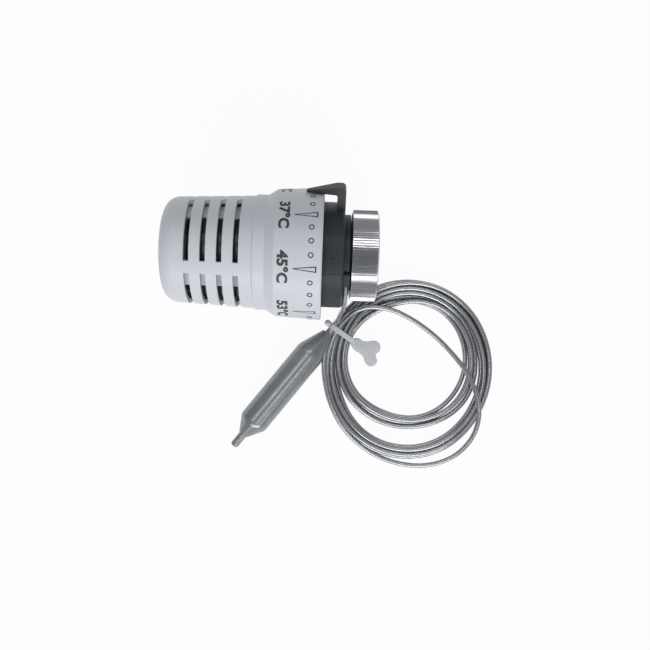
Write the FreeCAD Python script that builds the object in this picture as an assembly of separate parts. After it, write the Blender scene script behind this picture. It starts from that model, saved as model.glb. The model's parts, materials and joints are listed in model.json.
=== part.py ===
import FreeCAD, Part
import math
import os

# Radiator valve head with a remote sensing bulb.
# Millimetres. X runs along the head's axis from the domed end to the union nut's mouth,
# Z is up, and the origin is the centre of the seat face at the end of the neck.
# An angle round the axis is counted from +Z towards +Y.

V = FreeCAD.Vector
ORIGIN = V(0, 0, 0)
AXIS = V(1, 0, 0)
UP = V(0, 0, 1)

# Fits
RUNNING = 0.08        # radial clearance of what turns or slides in its guide
PRESSED = 0.03        # radial clearance of what is pushed or crimped in for good
PASSING = 0.3         # room between pieces that only pass each other

# Base: neck, hub, drum and sleeve
NECK_RADIUS = 13.0
NECK_BORE_RADIUS = 10.0
NECK_BORE_DEPTH = 3.4
NECK_LENGTH = 4.5
HUB_RADIUS = 15.6
HUB_LENGTH = 2.4
DRUM_PROUD = 0.2      # from the sleeve out to the drum's face
DRUM_LENGTH = 7.9
SLEEVE_RADIUS = 20.0
SLEEVE_WALL = 2.2
SLEEVE_LENGTH = 26.0
FLOOR_THICKNESS = 2.4
ROD_BOSS_RADIUS = 8.0
ROD_BOSS_LENGTH = 3.5

# Shallow thumb rest on the drum, with a moulded mark
REST_SPAN = 43.0
REST_ANGLE = -4.5
REST_DEPTH = 0.2
REST_MARK_RADIUS = 0.7
REST_MARK_ANGLE = -8.3

# Pointer arm on the drum
POINTER_ANGLE = 58.7
POINTER_WIDTH = 5.5
POINTER_TIP_WIDTH = 1.7
POINTER_REACH = 6.7   # past the handwheel's rear edge
POINTER_TIP_HEIGHT = 0.9
POINTER_ROOT_HEIGHT = 2.9
POINTER_STEM = 3.1

# Handwheel
WHEEL_LENGTH = 60.5
WHEEL_WALL = 1.8
RING_LENGTH = 17.5
RING_FLARE = 0.8      # how much the dial ring widens to its rear edge
SHOULDER_LENGTH = 3.5
BAND_LENGTH = 4.2
BAND_WALL = 2.0
BAND_STEP = 0.5
CAGE_ROOM = 0.5       # from the cage out to the cone's wall
DOME_CORNER = 5.6
DOME_CROWN = 0.5
SCREW_RADIUS = 7.5
SCREW_BORE = 5.0
SCREW_LENGTH = 18.3

# Vents in the handwheel
VENT_ROWS = 4
VENT_GROUPS = 4
VENT_WIDTH = 2.05
VENT_PITCH = 6.0
VENT_SPAN = 77.0
VENT_CENTRE = 22.0
VENT_FIRST = 11.2     # first row's centre from the dome's face

# Turning stops
STOP_LENGTH = 10.0
STOP_OFFSET = 3.2
BASE_STOP_SPAN = 24.0
BASE_STOP_ANGLE = -120.0
BASE_STOP_HEIGHT = 2.3
WHEEL_STOP_SPAN = 52.0
COLD_TURN = 54.6      # degrees from the drawn setting to the coldest stop
STOP_PLAY = 1.0

# Guide cage
CAGE_WALL = 1.1
CAGE_LENGTH = 60.7
CAGE_RING = 2.0
CAGE_REAR_LENGTH = 29.5
STAVES = 4
STAVE_SPAN = 29.0
STAVE_CENTRE = 52.5

# Carriage
CARRIAGE_WALL = 1.2
CARRIAGE_GAP = 0.4
CARRIAGE_FRONT_WALL = 1.5
CARRIAGE_AHEAD = 3.2  # from the cage's front ring back to the carriage
WELL_LENGTH = 13.0
WELL_WALL = 1.6
KEY_LENGTH = 20.0
KEY_DEPTH = 0.35      # how far a key stays inside the cage's outer face

# Overtravel spring and its washer
OVERTRAVEL_LENGTH = 14.4
OVERTRAVEL_WIRE = 1.8
OVERTRAVEL_TURNS = 5.0
WASHER_THICKNESS = 1.0

# Capsule, bellows and plunger
CAPSULE_ROOM = 0.6    # from the capsule out to the carriage's wall
CAPSULE_WALL = 0.8
CAPSULE_LENGTH = 21.0
REAR_PLATE_THICKNESS = 1.0
RETAINER_THICKNESS = 0.7
RETAINER_BITE = 0.5
RETAINER_WIDTH = 1.7
RETAINER_GAP = 40.0
RETAINER_LIP = 1.1    # carriage's wall behind the retaining ring
BELLOWS_CREST = 10.2
BELLOWS_ROOT = 7.4
BELLOWS_SHEET = 0.25
BELLOWS_WAVES = 6
BELLOWS_LENGTH = 17.2
PLUNGER_FOOT_RADIUS = 6.5
PLUNGER_SHAFT_RADIUS = 3.0
PLUNGER_FLANGE_RADIUS = 10.4
PLUNGER_FLANGE = 1.4
PLUNGER_FLANGE_GAP = 1.3
PLUNGER_RECESS = 0.3  # the pin's end from the floor of the neck's bore
PIN_RADIUS = 2.0
PIN_LENGTH = 7.5
PIN_REACH = 1.5
RETURN_WIRE = 1.2
RETURN_RADIUS = 9.4
RETURN_TURNS = 5.5
SPRING_END_GAP = 0.1

# Union nut and its snap ring
NUT_RADIUS = 17.5
NUT_LENGTH = 10.2
NUT_FRONT_GAP = 0.3
NUT_LIP = 1.9
NUT_CHAMFER = 0.5
THREAD_MINOR_RADIUS = 14.19
THREAD_RELIEF_RADIUS = 15.2
THREAD_START = 0.3
THREAD_CHAMFER = 0.8
KNURLS = 112
KNURL_DEPTH = 0.42
NUT_RING_THICKNESS = 0.9
NUT_RING_OUTER_RADIUS = 14.1
NUT_RING_DEPTH = 0.75
NUT_RING_GAP = 36.0

# Handwheel snap ring
WHEEL_RING_THICKNESS = 1.0
WHEEL_RING_DEPTH = 0.95
WHEEL_RING_PROUD = 0.85
WHEEL_RING_GAP = 30.0
WHEEL_RING_SETBACK = 2.0

# Capillary tube, its outlet block and its coil on the floor
CAPILLARY_RADIUS = 1.0
PIGTAIL_RADIUS = 12.2
OUTLET_FROM = V(0, -8.8, 12.2)
OUTLET_TO = V(0, -11.4, 9.85)
OUTLET_WIDTH = 4.2
OUTLET_DEPTH = 1.1    # how far the block is let into the drum's rear face
COIL_CENTRE = V(21.7, -43.6, 0)
COIL_TIE_ANGLE = 153.0
COIL_TIE_INNER = 25.9
COIL_TIE_OUTER = 36.1
COIL_INNER_DROP = 6.3
COIL_OUTER_RISE = 6.2
COIL_OUTER_RISE_ANGLE = 282.0
COIL_SIDE_RISE = 1.7
COIL_SIDE_RISE_ANGLE = 47.0
COIL_INNER_DROP_ANGLE = 270.0
COIL_HEIGHT = 6.2
COIL_OUTLINE_POINTS = 24
LEAD_ROUTE = [
    V(-5.75, -15.0, 6.6),
    V(-5.8, -19.0, 0.8),
    V(-6.2, -21.3, -6.0),
    V(-7.2, -23.2, -12.6),
    V(-8.6, -26.3, -19.8),
]

# Sensing bulb
BULB_RADIUS = 6.0
BULB_LENGTH = 36.8
BULB_TOP = V(-18.45, -38.55, 0)
BULB_DIRECTION = 52.5
BULB_NECK_LENGTH = 10.6
BULB_NECK_RADIUS = 1.9
BULB_END_LENGTH = 6.6
BULB_END_RADIUS = 2.0
STUB_RADIUS = 1.65
STUB_LENGTH = 6.2
STUB_INSERT = 1.5
TAIL_LENGTH = 4.5
TAIL_INSERT = 1.0

# Tie round the coil
TIE_WIDTH = 2.2
TIE_TURN = -7.0       # from square across the turns
TIE_THICKNESS = 0.9
TIE_ROOM = 0.8
TIE_CORNER = 0.7
TIE_HEIGHT = 7.4
PADDLE_TURN = 7.0
PADDLE_LEVEL = 3.4
PADDLE_ROOT_WIDTH = 3.4
LOBE_RADIUS = 2.1
LOBE_REACH = 8.6
LOBE_SPREAD = 2.9

# Stations along the axis
hub_rear = -NECK_LENGTH
drum_rear = hub_rear - HUB_LENGTH
wheel_rear = drum_rear - DRUM_LENGTH
floor_front = drum_rear - FLOOR_THICKNESS
sleeve_front = wheel_rear - SLEEVE_LENGTH
ring_front = wheel_rear - RING_LENGTH
band_rear = ring_front - SHOULDER_LENGTH
band_front = band_rear - BAND_LENGTH
dome_face = wheel_rear - WHEEL_LENGTH
dome_inner = dome_face + WHEEL_WALL + 0.2
screw_end = dome_inner + SCREW_LENGTH
cage_front = floor_front - CAGE_LENGTH
carriage_front = cage_front + CAGE_RING + CARRIAGE_AHEAD
well_rear = carriage_front + WELL_LENGTH
washer_front = carriage_front + CARRIAGE_FRONT_WALL + OVERTRAVEL_LENGTH
capsule_front = washer_front + WASHER_THICKNESS
plate_front = capsule_front + CAPSULE_LENGTH
plate_rear = plate_front + REAR_PLATE_THICKNESS
retainer_front = plate_rear + PASSING
carriage_rear = retainer_front + RETAINER_THICKNESS + RETAINER_LIP
flange_front = retainer_front + RETAINER_THICKNESS + PLUNGER_FLANGE_GAP
flange_rear = flange_front + PLUNGER_FLANGE
shaft_end = -NECK_BORE_DEPTH - PLUNGER_RECESS - PIN_REACH
bellows_front = plate_front - BELLOWS_LENGTH
nut_front = hub_rear + NUT_FRONT_GAP
nut_rear = nut_front + NUT_LENGTH
lip_rear = nut_front + NUT_LIP
nut_ring_front = lip_rear + PASSING + 0.05
boss_front = floor_front - ROD_BOSS_LENGTH

# Radii that follow from what fits in what
sleeve_bore = SLEEVE_RADIUS - SLEEVE_WALL
cage_radius = sleeve_bore - 0.1
cage_bore = cage_radius - CAGE_WALL
carriage_radius = cage_bore - CARRIAGE_GAP
carriage_bore = carriage_radius - CARRIAGE_WALL
capsule_radius = carriage_bore - CAPSULE_ROOM
well_bore = SCREW_RADIUS + RUNNING
well_radius = well_bore + WELL_WALL
drum_radius = SLEEVE_RADIUS + DRUM_PROUD
land_radius = SLEEVE_RADIUS + RUNNING
band_radius = land_radius + BAND_WALL
cone_rear_radius = band_radius - BAND_STEP
cone_front_radius = cage_radius + CAGE_ROOM + WHEEL_WALL
ring_front_radius = SLEEVE_RADIUS + BASE_STOP_HEIGHT + PASSING + WHEEL_WALL
ring_rear_radius = ring_front_radius + RING_FLARE
spring_radius = (well_radius + carriage_bore) / 2
floor_level = -ring_rear_radius
capillary_level = (drum_rear + hub_rear) / 2 - 0.2
bulb_level = floor_level + BULB_RADIUS


def unit(vector):
    return vector / vector.Length


def corner(point, before, after, radius):
    """Start, middle and end of the arc of one radius that rounds a corner."""
    u, v = unit(before - point), unit(after - point)
    half = u.getAngle(v) / 2
    inward = unit(u + v)
    centre = point + inward * (radius / math.sin(half))
    reach = radius / math.tan(half)
    return point + u * reach, centre - inward * radius, point + v * reach


def rounded_edges(points, radii, closed=True):
    """Straight runs joined by tangent arcs."""
    count = len(points)
    stops = []
    for i, (point, radius) in enumerate(zip(points, radii)):
        if radius and (closed or 0 < i < count - 1):
            stops.append(corner(point, points[i - 1], points[(i + 1) % count], radius))
        else:
            stops.append((point, None, point))
    edges = []
    for i, (start, middle, end) in enumerate(stops):
        if middle:
            edges.append(Part.Arc(start, middle, end).toShape())
        if closed or i < count - 1:
            following = stops[(i + 1) % count][0]
            if (following - end).Length > 1e-6:
                edges.append(Part.LineSegment(end, following).toShape())
    return edges


def section(stations):
    """Face in the XZ plane from (x, radius) or (x, radius, corner radius) stations."""
    points = [V(s[0], 0, s[1]) for s in stations]
    radii = [s[2] if len(s) > 2 else 0 for s in stations]
    return Part.Face(Part.Wire(rounded_edges(points, radii)))


def turned(stations, span=360.0, centre=0.0):
    """Solid of revolution about the axis, or a sector of one centred on an angle."""
    solid = section(stations).revolve(ORIGIN, AXIS, span)
    if span < 360.0:
        solid = turn(solid, centre + span / 2)
    return solid


def turn(shape, angle):
    """The shape turned round the axis by an angle from +Z towards +Y."""
    return shape.rotated(ORIGIN, AXIS, -angle)


def tube(front, rear, outer, inner, edge=0.0):
    return turned([(front, inner), (front, outer, edge), (rear, outer, edge), (rear, inner)])


def disc(front, rear, radius, edge=0.0):
    return turned([(front, 0), (front, radius, edge), (rear, radius, edge), (rear, 0)])


def swept(points, radii, radius):
    """Round rod along straight runs and tangent arcs."""
    path = Part.Wire(rounded_edges(points, radii, closed=False))
    circle = Part.Circle(points[0], points[1] - points[0], radius)
    return path.makePipeShell([Part.Wire(circle.toShape())], True, False)


def bend_radii(points):
    """Each bend is as large as its two runs allow."""
    radii = [0.0]
    for before, point, after in zip(points, points[1:], points[2:]):
        turn_angle = (point - before).getAngle(after - point)
        run = min((point - before).Length, (after - point).Length)
        radii.append(0.45 * run / math.tan(turn_angle / 2))
    return radii + [0.0]


def coil_spring(front, rear, radius, wire, turns):
    """Compression spring of inclined half turns, with a closed turn at each end."""
    halves = round(2 * turns)
    closed = (wire + SPRING_END_GAP) / 2
    rises = [(rear - front - wire - 4 * closed) / (halves - 4)] * halves
    rises[:2] = rises[-2:] = [closed, closed]
    x, side, arcs = front + wire / 2, 1, []
    for rise in rises:
        start, end = V(x, 0, side * radius), V(x + rise, 0, -side * radius)
        circle = Part.Face(Part.Wire(Part.Circle(start, V(0, 1, 0), wire / 2).toShape()))
        arcs.append(circle.revolve((start + end) / 2, V(2 * radius, 0, side * rise), 180))
        x, side = x + rise, -side
    return arcs[0].fuse(arcs[1:]).removeSplitter()


def split_ring(front, rear, outer, inner, gap, angle):
    """Snap ring with one gap."""
    stations = [(front, inner), (front, outer), (rear, outer), (rear, inner)]
    return turned(stations, 360.0 - gap, angle)


def base():
    """Moulded base: neck, hub, drum, sleeve, rod guide, pointer and stop."""
    body = turned([
        (0, NECK_BORE_RADIUS), (0, NECK_RADIUS, 0.4), (hub_rear, NECK_RADIUS),
        (hub_rear, HUB_RADIUS, 0.4), (drum_rear, HUB_RADIUS), (drum_rear, drum_radius, 1.0),
        (wheel_rear - 0.5, drum_radius), (wheel_rear - 0.7, SLEEVE_RADIUS),
        (sleeve_front, SLEEVE_RADIUS, 0.4), (sleeve_front, sleeve_bore, 0.3),
        (floor_front, sleeve_bore, 0.5), (floor_front, ROD_BOSS_RADIUS, 0.5),
        (boss_front, ROD_BOSS_RADIUS, 0.4), (boss_front, PLUNGER_SHAFT_RADIUS + RUNNING),
        (-NECK_BORE_DEPTH, PLUNGER_SHAFT_RADIUS + RUNNING), (-NECK_BORE_DEPTH, NECK_BORE_RADIUS)])
    groove = tube(nut_ring_front - 0.05, nut_ring_front + NUT_RING_THICKNESS + 0.05,
                  NECK_RADIUS + 1, NECK_RADIUS - NUT_RING_DEPTH - PRESSED)
    ring_groove = tube(wheel_ring_front() - 0.05, wheel_ring_front() + WHEEL_RING_THICKNESS + 0.05,
                       SLEEVE_RADIUS + 1, SLEEVE_RADIUS - WHEEL_RING_DEPTH - PRESSED)
    pigtail_hole = Part.makeCylinder(CAPILLARY_RADIUS + PASSING, FLOOR_THICKNESS + 2,
                                     V(floor_front - 1, OUTLET_FROM.y, OUTLET_FROM.z), AXIS)
    body = body.fuse([pointer_arm(), base_stop()])
    body = body.cut([groove, ring_groove, pigtail_hole, outlet_block(PRESSED), tube_slot()])
    return body.cut(thumb_rest()).removeSplitter()


def thumb_rest():
    """Cutters for the drum's shallow rest and the round mark in it."""
    floor = drum_radius - REST_DEPTH
    rest = turned([(wheel_rear - 0.3, floor), (wheel_rear - 0.3, drum_radius + 1),
                   (drum_rear - REST_DEPTH, drum_radius + 1), (drum_rear - REST_DEPTH, floor)],
                  REST_SPAN, REST_ANGLE)
    middle = (wheel_rear + drum_rear) / 2 - REST_DEPTH
    mark = Part.makeSphere(REST_MARK_RADIUS, V(middle, 0, floor + REST_MARK_RADIUS / 2))
    return [rest, turn(mark, REST_MARK_ANGLE)]


def pointer_arm():
    """Arm that rises from the drum and reaches forward over the dial ring."""
    under = ring_rear_radius + PASSING + 0.05
    tip = wheel_rear - POINTER_REACH
    stem_front = drum_rear - POINTER_STEM
    profile = [
        V(drum_rear, 0, drum_radius - 2.2), V(drum_rear, 0, under + POINTER_ROOT_HEIGHT),
        V(stem_front - 0.5, 0, under + POINTER_ROOT_HEIGHT), V(tip, 0, under + POINTER_TIP_HEIGHT),
        V(tip, 0, under), V(stem_front, 0, under), V(stem_front, 0, drum_radius - 2.2)]
    radii = [0, 1.5, 3.0, 0.3, 0.2, 0.8, 0]
    face = Part.Face(Part.Wire(rounded_edges(profile, radii)))
    arm = face.extrude(V(0, POINTER_WIDTH, 0)).translated(V(0, -POINTER_WIDTH / 2, 0))
    half, tip_half = POINTER_WIDTH / 2, POINTER_TIP_WIDTH / 2
    plan = [V(tip, -tip_half, 0), V(tip, tip_half, 0), V(stem_front, half, 0),
            V(drum_rear, half, 0), V(drum_rear, -half, 0), V(stem_front, -half, 0)]
    plan = Part.Face(Part.Wire(rounded_edges(plan, [0.6, 0.6, 4.0, 0, 0, 4.0])))
    return turn(arm.common(plan.extrude(UP * 2 * ring_rear_radius)), POINTER_ANGLE)


def stop_rear():
    return wheel_rear - STOP_OFFSET


def base_stop():
    """Stop rib on the sleeve."""
    rear = stop_rear()
    return turned([(rear - STOP_LENGTH, SLEEVE_RADIUS - 0.5),
                   (rear - STOP_LENGTH, SLEEVE_RADIUS + BASE_STOP_HEIGHT),
                   (rear, SLEEVE_RADIUS + BASE_STOP_HEIGHT), (rear, SLEEVE_RADIUS - 0.5)],
                  BASE_STOP_SPAN, BASE_STOP_ANGLE)


def outlet_block(clearance=0.0):
    """Elbow block in the hub where the capillary tube comes out, or the room for it."""
    along = unit(OUTLET_TO - OUTLET_FROM)
    across = AXIS.cross(along)
    start = OUTLET_FROM - along * (OUTLET_WIDTH / 2 + clearance)
    length = (OUTLET_TO - OUTLET_FROM).Length + OUTLET_WIDTH / 2 + clearance
    half = OUTLET_WIDTH / 2 + clearance
    rear = hub_rear + (1.0 if clearance else 0.0)
    front = drum_rear - OUTLET_DEPTH
    corners = [start - across * half, start + across * half,
               start + across * half + along * length, start - across * half + along * length]
    corners = [c + V(front, 0, 0) for c in corners]
    face = Part.Face(Part.Wire(rounded_edges(corners, [0.6, 0.6, 0, 0])))
    return face.extrude(V(rear - front, 0, 0))


def tube_slot():
    """Slot from the outlet block to the hub's edge, open to the rear, for the free tube."""
    along = unit(OUTLET_TO - OUTLET_FROM)
    across = AXIS.cross(along) * (CAPILLARY_RADIUS + PASSING)
    start, end = OUTLET_FROM, OUTLET_FROM + along * HUB_RADIUS
    corners = [start - across, start + across, end + across, end - across]
    front = capillary_level - CAPILLARY_RADIUS - PASSING / 2
    corners = [c + V(front, 0, 0) for c in corners]
    face = Part.Face(Part.Wire(rounded_edges(corners, [0] * 4)))
    return face.extrude(V(hub_rear + 1 - front, 0, 0))


def capillary_gland():
    """Outlet block with its elbow bore."""
    along = unit(OUTLET_TO - OUTLET_FROM)
    bore = CAPILLARY_RADIUS + PRESSED
    level = V(capillary_level, 0, 0)
    down = Part.makeCylinder(bore, capillary_level - drum_rear + OUTLET_DEPTH + 1,
                             OUTLET_FROM + V(drum_rear - OUTLET_DEPTH - 1, 0, 0), AXIS)
    out = Part.makeCylinder(bore, HUB_RADIUS, OUTLET_FROM + level, along)
    bend = Part.makeSphere(bore, OUTLET_FROM + level)
    return outlet_block().cut([down, out, bend])


def wheel_ring_front():
    return sleeve_front + WHEEL_RING_SETBACK


def handwheel_snap_ring():
    front = wheel_ring_front()
    return split_ring(front, front + WHEEL_RING_THICKNESS, SLEEVE_RADIUS + WHEEL_RING_PROUD,
                      SLEEVE_RADIUS - WHEEL_RING_DEPTH, WHEEL_RING_GAP, 90)


def nut_snap_ring():
    return split_ring(nut_ring_front, nut_ring_front + NUT_RING_THICKNESS, NUT_RING_OUTER_RADIUS,
                      NECK_RADIUS - NUT_RING_DEPTH, NUT_RING_GAP, 180)


def handwheel():
    """Handwheel: dial ring, shoulder, vented cone, dome and setting screw in one moulding."""
    cone_front = dome_face + DOME_CROWN
    inner_front = cone_front_radius - WHEEL_WALL
    inner_rear = cone_rear_radius - WHEEL_WALL
    land_front = sleeve_front - 0.5
    ring_inner_rear = ring_rear_radius - WHEEL_WALL - 0.1
    ring_inner_front = ring_front_radius - WHEEL_WALL
    shell = turned([
        (wheel_rear, ring_inner_rear, 0.3), (wheel_rear, ring_rear_radius, 0.6),
        (ring_front, ring_front_radius, 1.5), (band_rear, band_radius, 1.2),
        (band_front, band_radius, 0.3), (band_front - BAND_STEP, cone_rear_radius, 0.3),
        (cone_front, cone_front_radius, DOME_CORNER), (dome_face, 8.0, 280.0), (dome_face, 0),
        (dome_inner, 0), (dome_inner, SCREW_BORE, 0.4), (screw_end, SCREW_BORE),
        (screw_end, SCREW_RADIUS, 0.4), (dome_inner, SCREW_RADIUS, 1.0),
        (dome_inner, inner_front, DOME_CORNER - WHEEL_WALL), (land_front, inner_rear),
        (land_front, land_radius), (ring_front - 1.1, land_radius, 0.4),
        (ring_front + 0.9, ring_inner_front, 1.0)])
    ring_room = tube(wheel_ring_front() - PASSING, wheel_ring_front() + WHEEL_RING_THICKNESS + PASSING,
                     SLEEVE_RADIUS + WHEEL_RING_PROUD + PASSING, SLEEVE_RADIUS - 1)
    return shell.fuse(wheel_stop()).cut([ring_room] + vents())


def wheel_stop():
    """Stop rib inside the dial ring, placed so that the base's rib limits the turn."""
    reach = (BASE_STOP_SPAN + WHEEL_STOP_SPAN) / 2 + STOP_PLAY
    centre = BASE_STOP_ANGLE + reach + COLD_TURN
    rear = stop_rear()
    low, high = SLEEVE_RADIUS + PASSING + 0.2, ring_front_radius - WHEEL_WALL + 0.4
    return turned([(rear - STOP_LENGTH, low, 0.4), (rear - STOP_LENGTH, high),
                   (rear, high), (rear, low, 0.4)], WHEEL_STOP_SPAN, centre)


def vents():
    """Cutters for the rows of slots through the handwheel's cone."""
    cutters = []
    for row in range(VENT_ROWS):
        middle = dome_face + VENT_FIRST + row * VENT_PITCH
        front, rear = middle - VENT_WIDTH / 2, middle + VENT_WIDTH / 2
        low, high = cone_front_radius - WHEEL_WALL - 1, band_radius + 1
        for group in range(VENT_GROUPS):
            angle = VENT_CENTRE + group * 360.0 / VENT_GROUPS
            cutters.append(turned([(front, low), (front, high), (rear, high), (rear, low)],
                                  VENT_SPAN, angle))
    return cutters


def guide_cage():
    """Fixed inner cage whose staves keep the carriage from turning."""
    cage = tube(cage_front, floor_front, cage_radius, cage_bore, 0.2)
    window = 360.0 / STAVES - STAVE_SPAN
    front, rear = cage_front + CAGE_RING, floor_front - CAGE_REAR_LENGTH
    windows = []
    for i in range(STAVES):
        angle = STAVE_CENTRE + (i + 0.5) * 360.0 / STAVES
        windows.append(turned([(front, cage_bore - 1), (front, cage_radius + 1),
                               (rear, cage_radius + 1), (rear, cage_bore - 1)], window, angle))
    return cage.cut(windows)


def carriage_cup():
    """Carriage that the setting screw moves along the cage's windows."""
    cup = turned([
        (carriage_front, well_bore), (carriage_front, carriage_radius, 0.6),
        (carriage_rear, carriage_radius, 0.3), (carriage_rear, carriage_bore),
        (carriage_front + CARRIAGE_FRONT_WALL, carriage_bore, 0.8),
        (carriage_front + CARRIAGE_FRONT_WALL, well_radius, 0.5),
        (well_rear, well_radius, 0.4), (well_rear, well_bore)])
    key_span = 360.0 / STAVES - STAVE_SPAN - 2 * math.degrees(PASSING / cage_bore)
    keys = []
    for i in range(STAVES):
        angle = STAVE_CENTRE + (i + 0.5) * 360.0 / STAVES
        keys.append(turned([(carriage_front + 0.6, carriage_radius - 0.3),
                            (carriage_front + 0.6, cage_radius - KEY_DEPTH, 0.3),
                            (carriage_front + KEY_LENGTH, cage_radius - KEY_DEPTH, 0.3),
                            (carriage_front + KEY_LENGTH, carriage_radius - 0.3)], key_span, angle))
    groove = tube(retainer_front - 0.03, retainer_front + RETAINER_THICKNESS + 0.03,
                  carriage_bore + RETAINER_BITE + PRESSED, carriage_bore - 1)
    return cup.fuse(keys).cut(groove)


def capsule_retaining_ring():
    rear = retainer_front + RETAINER_THICKNESS
    return split_ring(retainer_front, rear, carriage_bore + RETAINER_BITE,
                      carriage_bore + RETAINER_BITE - RETAINER_WIDTH, RETAINER_GAP, 0)


def overtravel_spring():
    return coil_spring(carriage_front + CARRIAGE_FRONT_WALL, washer_front, spring_radius,
                       OVERTRAVEL_WIRE, OVERTRAVEL_TURNS)


def spring_washer():
    return tube(washer_front, capsule_front, capsule_radius + 0.2, well_radius + 0.4, 0.2)


def capsule_can():
    """Drawn cup round the bellows."""
    inner = capsule_radius - CAPSULE_WALL
    return turned([
        (capsule_front, 0), (capsule_front, capsule_radius, 1.6), (plate_front, capsule_radius),
        (plate_front, inner), (capsule_front + CAPSULE_WALL, inner, 0.8),
        (capsule_front + CAPSULE_WALL, 0)])


def capsule_rear_plate():
    """Plate that closes the can round the bellows' open end."""
    opening = PLUNGER_FOOT_RADIUS + 0.4
    plate = turned([(plate_front, opening), (plate_front, capsule_radius),
                    (plate_rear, capsule_radius, 0.3), (plate_rear, opening)])
    start = pigtail_start()
    hole = Part.makeCylinder(CAPILLARY_RADIUS * 0.6, 3, start - AXIS * 2, AXIS)
    return plate.cut(hole)


def bellows():
    """Corrugated bellows with a closed front end, open at the rear plate."""
    wave = BELLOWS_LENGTH / (BELLOWS_WAVES + 0.5)
    sheet = BELLOWS_SHEET
    outside = [(bellows_front, 0), (bellows_front, BELLOWS_ROOT, 0.4)]
    inside = [(bellows_front + sheet, 0), (bellows_front + sheet, BELLOWS_ROOT - sheet)]
    for i in range(BELLOWS_WAVES):
        front = bellows_front + (i + 0.5) * wave
        rear = front + wave / 2
        outside += [(front, BELLOWS_ROOT, 0.3), (front, BELLOWS_CREST, 0.5),
                    (rear, BELLOWS_CREST, 0.5), (rear, BELLOWS_ROOT, 0.3)]
        inside += [(front + sheet, BELLOWS_ROOT - sheet, 0.5),
                   (front + sheet, BELLOWS_CREST - sheet, 0.3),
                   (rear - sheet, BELLOWS_CREST - sheet, 0.3),
                   (rear - sheet, BELLOWS_ROOT - sheet, 0.5)]
    outside.append((plate_front, BELLOWS_ROOT))
    inside.append((plate_front, BELLOWS_ROOT - sheet))
    return turned(outside + inside[::-1])


def push_rod():
    """Plunger: foot in the bellows, spring flange and guided shaft."""
    foot_front = bellows_front + BELLOWS_SHEET + 0.1
    rod = turned([
        (foot_front, 0), (foot_front, PLUNGER_FOOT_RADIUS, 0.8),
        (flange_front, PLUNGER_FOOT_RADIUS, 0.4), (flange_front, PLUNGER_FLANGE_RADIUS, 0.3),
        (flange_rear, PLUNGER_FLANGE_RADIUS, 0.3), (flange_rear, PLUNGER_FOOT_RADIUS),
        (flange_rear + 1.5, PLUNGER_FOOT_RADIUS, 0.8),
        (flange_rear + 3.5, PLUNGER_SHAFT_RADIUS, 1.0), (shaft_end, PLUNGER_SHAFT_RADIUS, 0.3),
        (shaft_end, 0)])
    pin_front = shaft_end + PIN_REACH - PIN_LENGTH
    return rod.cut(disc(pin_front - 0.1, shaft_end + 1, PIN_RADIUS + PRESSED))


def push_rod_pin():
    """Pin in the plunger's end that meets the valve's stem."""
    rear = shaft_end + PIN_REACH
    return disc(rear - PIN_LENGTH, rear, PIN_RADIUS, 0.3)


def return_spring():
    return coil_spring(flange_rear, floor_front, RETURN_RADIUS, RETURN_WIRE, RETURN_TURNS)


def pigtail_start():
    """Where the capillary tube leaves the capsule's rear plate."""
    angle = math.atan2(OUTLET_FROM.y, OUTLET_FROM.z) + math.radians(40)
    return V(plate_rear, PIGTAIL_RADIUS * math.sin(angle), PIGTAIL_RADIUS * math.cos(angle))


def capillary_pigtail():
    """Loose turn of tube inside the head, which lets the capsule move."""
    start = pigtail_start()
    end = OUTLET_FROM + V(drum_rear - OUTLET_DEPTH, 0, 0)
    first = math.atan2(start.y, start.z)
    last = math.atan2(end.y, end.z)
    steps = 8
    sweep = last - first + math.radians(-360)
    points = [start, start + AXIS * 4]
    low, high = plate_rear + 5.5, floor_front - 3.5
    for i in range(1, steps):
        share = i / steps
        angle = first + sweep * share
        points.append(V(low + (high - low) * share, PIGTAIL_RADIUS * math.sin(angle),
                        PIGTAIL_RADIUS * math.cos(angle)))
    points += [end - AXIS * 4.4, end]
    return swept(points, bend_radii(points), CAPILLARY_RADIUS)


def capillary_lead():
    """Free tube from the outlet block down to the coil."""
    along = unit(OUTLET_TO - OUTLET_FROM)
    level = V(capillary_level, 0, 0)
    points = [OUTLET_TO - along * 1.5 + level] + LEAD_ROUTE
    radii = bend_radii(points)
    print("lead bend radii", [round(r, 1) for r in radii[1:-1]])
    lead = swept(points, radii, CAPILLARY_RADIUS)
    path = sum(edge.Length for edge in rounded_edges(points, radii, closed=False))
    print("lead length", round(path, 2), "volume / (section x length)",
          round(lead.Volume / (math.pi * CAPILLARY_RADIUS ** 2 * path), 4))
    return lead


def swell(angle, centre, power):
    """1 at the centre angle, falling smoothly to 0 opposite it."""
    return ((1 + math.cos(math.radians(angle - centre))) / 2) ** power


def coil_outer(angle):
    return (COIL_TIE_OUTER + COIL_OUTER_RISE * swell(angle, COIL_OUTER_RISE_ANGLE, 4)
            + COIL_SIDE_RISE * swell(angle, COIL_SIDE_RISE_ANGLE, 8))


def coil_inner(angle):
    return COIL_TIE_INNER - COIL_INNER_DROP * swell(angle, COIL_INNER_DROP_ANGLE, 1.5)


def coil_outline(radius_at):
    points = []
    for i in range(COIL_OUTLINE_POINTS):
        angle = i * 360.0 / COIL_OUTLINE_POINTS
        turn_angle = math.radians(angle)
        reach = radius_at(angle)
        points.append(COIL_CENTRE + V(reach * math.cos(turn_angle), reach * math.sin(turn_angle),
                                      floor_level))
    curve = Part.BSplineCurve()
    curve.interpolate(Points=points, PeriodicFlag=True)
    return Part.Wire(curve.toShape())


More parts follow.
